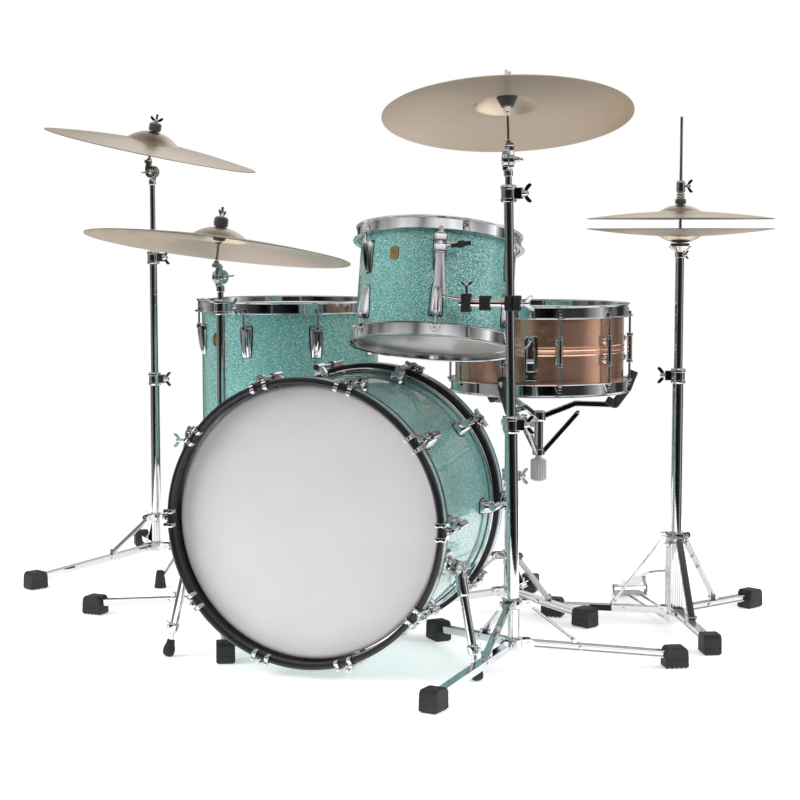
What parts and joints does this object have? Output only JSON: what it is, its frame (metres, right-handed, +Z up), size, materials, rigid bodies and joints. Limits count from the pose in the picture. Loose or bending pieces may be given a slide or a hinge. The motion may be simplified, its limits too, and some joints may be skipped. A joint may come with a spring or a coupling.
{
  "type": "acoustic drum kit",
  "caption": "Acoustic drum kit: bass drum on folding spurs, rack and floor toms, snare drum in a basket stand, hi-hat with pedal, crash and ride cymbals on flat-base stands.",
  "frame": {"origin": "on the floor, under the middle of the box round the whole kit", "axes": "+Z up, +Y from the front of the kit towards the drummer, +X to the drummer's left as seen from the front right"},
  "size_m": [1.7467, 1.3976, 1.1136],
  "materials": {
    "glitter_wrap": "turquoise glitter wrap under clear gloss",
    "glitter_inlay": "turquoise glitter strip under clear gloss",
    "black_lacquer": "gloss black lacquer on maple",
    "coated_head": "frosted and coated drumhead film",
    "chrome": "polished chrome plate",
    "rubber": "moulded black rubber",
    "copper": "polished copper shell, lacquered",
    "bronze": "lathed and hammered bronze",
    "steel_wire": "coiled steel wire",
    "badge_metal": "olive gold plate"
  },
  "bodies": {
    "kit": {"bass_drum_shell": "glitter_wrap", "bass_drum_hoops": "black_lacquer", "bass_drum_hoop_inlays": "glitter_inlay", "bass_drum_heads": "coated_head", "bass_drum_lugs": "chrome", "bass_drum_claws": "chrome", "bass_drum_tension_rods": "chrome", "spur_brackets": "chrome", "floor_tom_legs": "chrome", "stand_legs": "chrome", "stand_braces": "chrome", "rubber_feet": "rubber", "stand_castings": "chrome", "stand_lower_tubes": "chrome", "hihat_frame": "chrome"},
    "spur_right": {"spur_right_tube": "chrome"},
    "spur_right_end": {"spur_right_leg": "chrome"},
    "spur_left": {"spur_left_tube": "chrome"},
    "spur_left_end": {"spur_left_leg": "chrome"},
    "tom_holder": {"tom_clamp": "chrome"},
    "tom_arm_body": {"tom_arm": "chrome"},
    "rack_tom": {"rack_tom_shell": "glitter_wrap", "rack_tom_hoops": "chrome", "rack_tom_heads": "coated_head", "rack_tom_lugs": "chrome", "rack_tom_tension_rods": "chrome", "rack_tom_mount": "chrome", "rack_tom_badge": "badge_metal"},
    "floor_tom": {"floor_tom_shell": "glitter_wrap", "floor_tom_hoops": "chrome", "floor_tom_heads": "coated_head", "floor_tom_lugs": "chrome", "floor_tom_tension_rods": "chrome", "floor_tom_leg_brackets": "chrome", "floor_tom_badge": "badge_metal"},
    "left_crash_pole": {"left_crash_upper_tube": "chrome"},
    "left_crash_head": {"left_crash_tilter": "chrome"},
    "left_crash": {"left_crash_cymbal": "bronze"},
    "ride_pole": {"ride_upper_tube": "chrome"},
    "ride_head": {"ride_tilter": "chrome"},
    "ride": {"ride_cymbal": "bronze"},
    "right_crash_pole": {"right_crash_upper_tube": "chrome"},
    "right_crash_head": {"right_crash_tilter": "chrome"},
    "right_crash": {"right_crash_cymbal": "bronze"},
    "hihat_pole": {"hihat_upper_tube": "chrome", "hihat_bottom_cymbal": "bronze"},
    "hihat_pull": {"hihat_pull_rod": "chrome"},
    "hihat_top": {"hihat_clutch": "chrome", "hihat_top_cymbal": "bronze"},
    "hihat_pedal": {"hihat_footboard": "chrome"},
    "snare_pole": {"snare_stand_upper_tube": "chrome"},
    "snare": {"snare_basket": "chrome", "snare_shell": "copper", "snare_hoops": "chrome", "snare_heads": "coated_head", "snare_lugs": "chrome", "snare_tension_rods": "chrome", "snare_strainer": "chrome", "snare_wires": "steel_wire"},
    "snare_lever": {"snare_throw_lever": "chrome"}
  },
  "joints": [
    {"name": "spur_right_fold", "type": "hinge", "parent": "kit", "child": "spur_right", "pos_m": [0.381, -0.43329, 0.20297], "axis": [-0.9563, 0, 0.2924], "range_deg": [0, 15]},
    {"name": "spur_right_extend", "type": "slide", "parent": "spur_right", "child": "spur_right_end", "axis": [-0.1948, 0.0723, 0.9782], "range_m": [0, 0.008]},
    {"name": "spur_left_fold", "type": "hinge", "parent": "kit", "child": "spur_left", "pos_m": [-0.16218, -0.43329, 0.20297], "axis": [-0.9563, 0, -0.2924], "range_deg": [0, 80]},
    {"name": "spur_left_extend", "type": "slide", "parent": "spur_left", "child": "spur_left_end", "axis": [0.1948, 0.0723, 0.9782], "range_m": [0, 0.008]},
    {"name": "tom_clamp_height", "type": "slide", "parent": "kit", "child": "tom_holder", "axis": [-0.0166, -0.0054, 0.9998], "range_m": [0, 0.06]},
    {"name": "tom_tilt", "type": "hinge", "parent": "tom_holder", "child": "tom_arm_body", "pos_m": [0.32236, -0.3887, 0.689], "axis": [0.9934, 0.1148, 0], "range_deg": [-1, 12]},
    {"name": "rack_tom_height", "type": "slide", "parent": "tom_arm_body", "child": "rack_tom", "axis": [0, 0.2181, 0.9759], "range_m": [0, 0.02]},
    {"name": "floor_tom_height", "type": "slide", "parent": "kit", "child": "floor_tom", "axis": [0, 0, 1], "range_m": [-0.05, 0.01]},
    {"name": "left_crash_height", "type": "slide", "parent": "kit", "child": "left_crash_pole", "axis": [0, 0, 1], "range_m": [-0.08, 0.05]},
    {"name": "left_crash_tilt", "type": "hinge", "parent": "left_crash_pole", "child": "left_crash_head", "pos_m": [-0.62259, 0.37671, 0.962], "axis": [0, 1, 0], "range_deg": [-12, 15]},
    {"name": "left_crash_spin", "type": "hinge", "parent": "left_crash_head", "child": "left_crash", "pos_m": [-0.63625, 0.37671, 0.96505], "axis": [0.2181, 0, 0.9759], "continuous": true},
    {"name": "ride_height", "type": "slide", "parent": "kit", "child": "ride_pole", "axis": [0, 0, 1], "range_m": [-0.04, 0.08]},
    {"name": "ride_tilt", "type": "hinge", "parent": "ride_pole", "child": "ride_head", "pos_m": [-0.20859, -0.16629, 0.727], "axis": [-0.8721, 0.4894, 0], "range_deg": [-8, 8]},
    {"name": "ride_spin", "type": "hinge", "parent": "ride_head", "child": "ride", "pos_m": [-0.21536, -0.17836, 0.72914], "axis": [0.0749, 0.1334, 0.9882], "continuous": true},
    {"name": "right_crash_height", "type": "slide", "parent": "kit", "child": "right_crash_pole", "axis": [-0.0166, -0.0054, 0.9998], "range_m": [-0.01, 0.08]},
    {"name": "right_crash_tilt", "type": "hinge", "parent": "right_crash_pole", "child": "right_crash_head", "pos_m": [0.45365, -0.37444, 0.94986], "axis": [-0.9509, -0.309, -0.0175], "range_deg": [-13, 10]},
    {"name": "right_crash_spin", "type": "hinge", "parent": "right_crash_head", "child": "right_crash", "pos_m": [0.4578, -0.38739, 0.95319], "axis": [-0.0898, 0.2216, 0.971], "continuous": true},
    {"name": "hihat_height", "type": "slide", "parent": "kit", "child": "hihat_pole", "axis": [0, 0, 1], "range_m": [-0.05, 0]},
    {"name": "hihat_pull_travel", "type": "slide", "parent": "kit", "child": "hihat_pull", "axis": [0, 0, 1], "range_m": [-0.0181, 0], "stiffness_N_per_m": 900, "springref_m": 0.03},
    {"name": "hihat_clutch_height", "type": "slide", "parent": "hihat_pull", "child": "hihat_top", "axis": [0, 0, 1], "range_m": [0, 0.05]},
    {"name": "hihat_pedal_press", "type": "hinge", "parent": "kit", "child": "hihat_pedal", "pos_m": [0.53554, 0.40947, 0.024], "axis": [0.8746, 0.4848, 0], "range_deg": [0, 4.4]},
    {"name": "snare_stand_height", "type": "slide", "parent": "kit", "child": "snare_pole", "axis": [0, 0, 1], "range_m": [-0.015, 0.01]},
    {"name": "snare_tilt", "type": "hinge", "parent": "snare_pole", "child": "snare", "pos_m": [0.31541, 0.17071, 0.412], "axis": [0.236, 0.9718, 0], "range_deg": [-6, 6]},
    {"name": "snare_throw_off", "type": "hinge", "parent": "snare", "child": "snare_lever", "pos_m": [0.41497, -0.04409, 0.559], "axis": [0.989, 0.1478, 0], "range_deg": [0, 70]}
  ],
  "couplings": [
    {"joint": "hihat_pull_travel", "follows": "hihat_pedal_press", "m_per_rad": -0.2344}
  ]
}
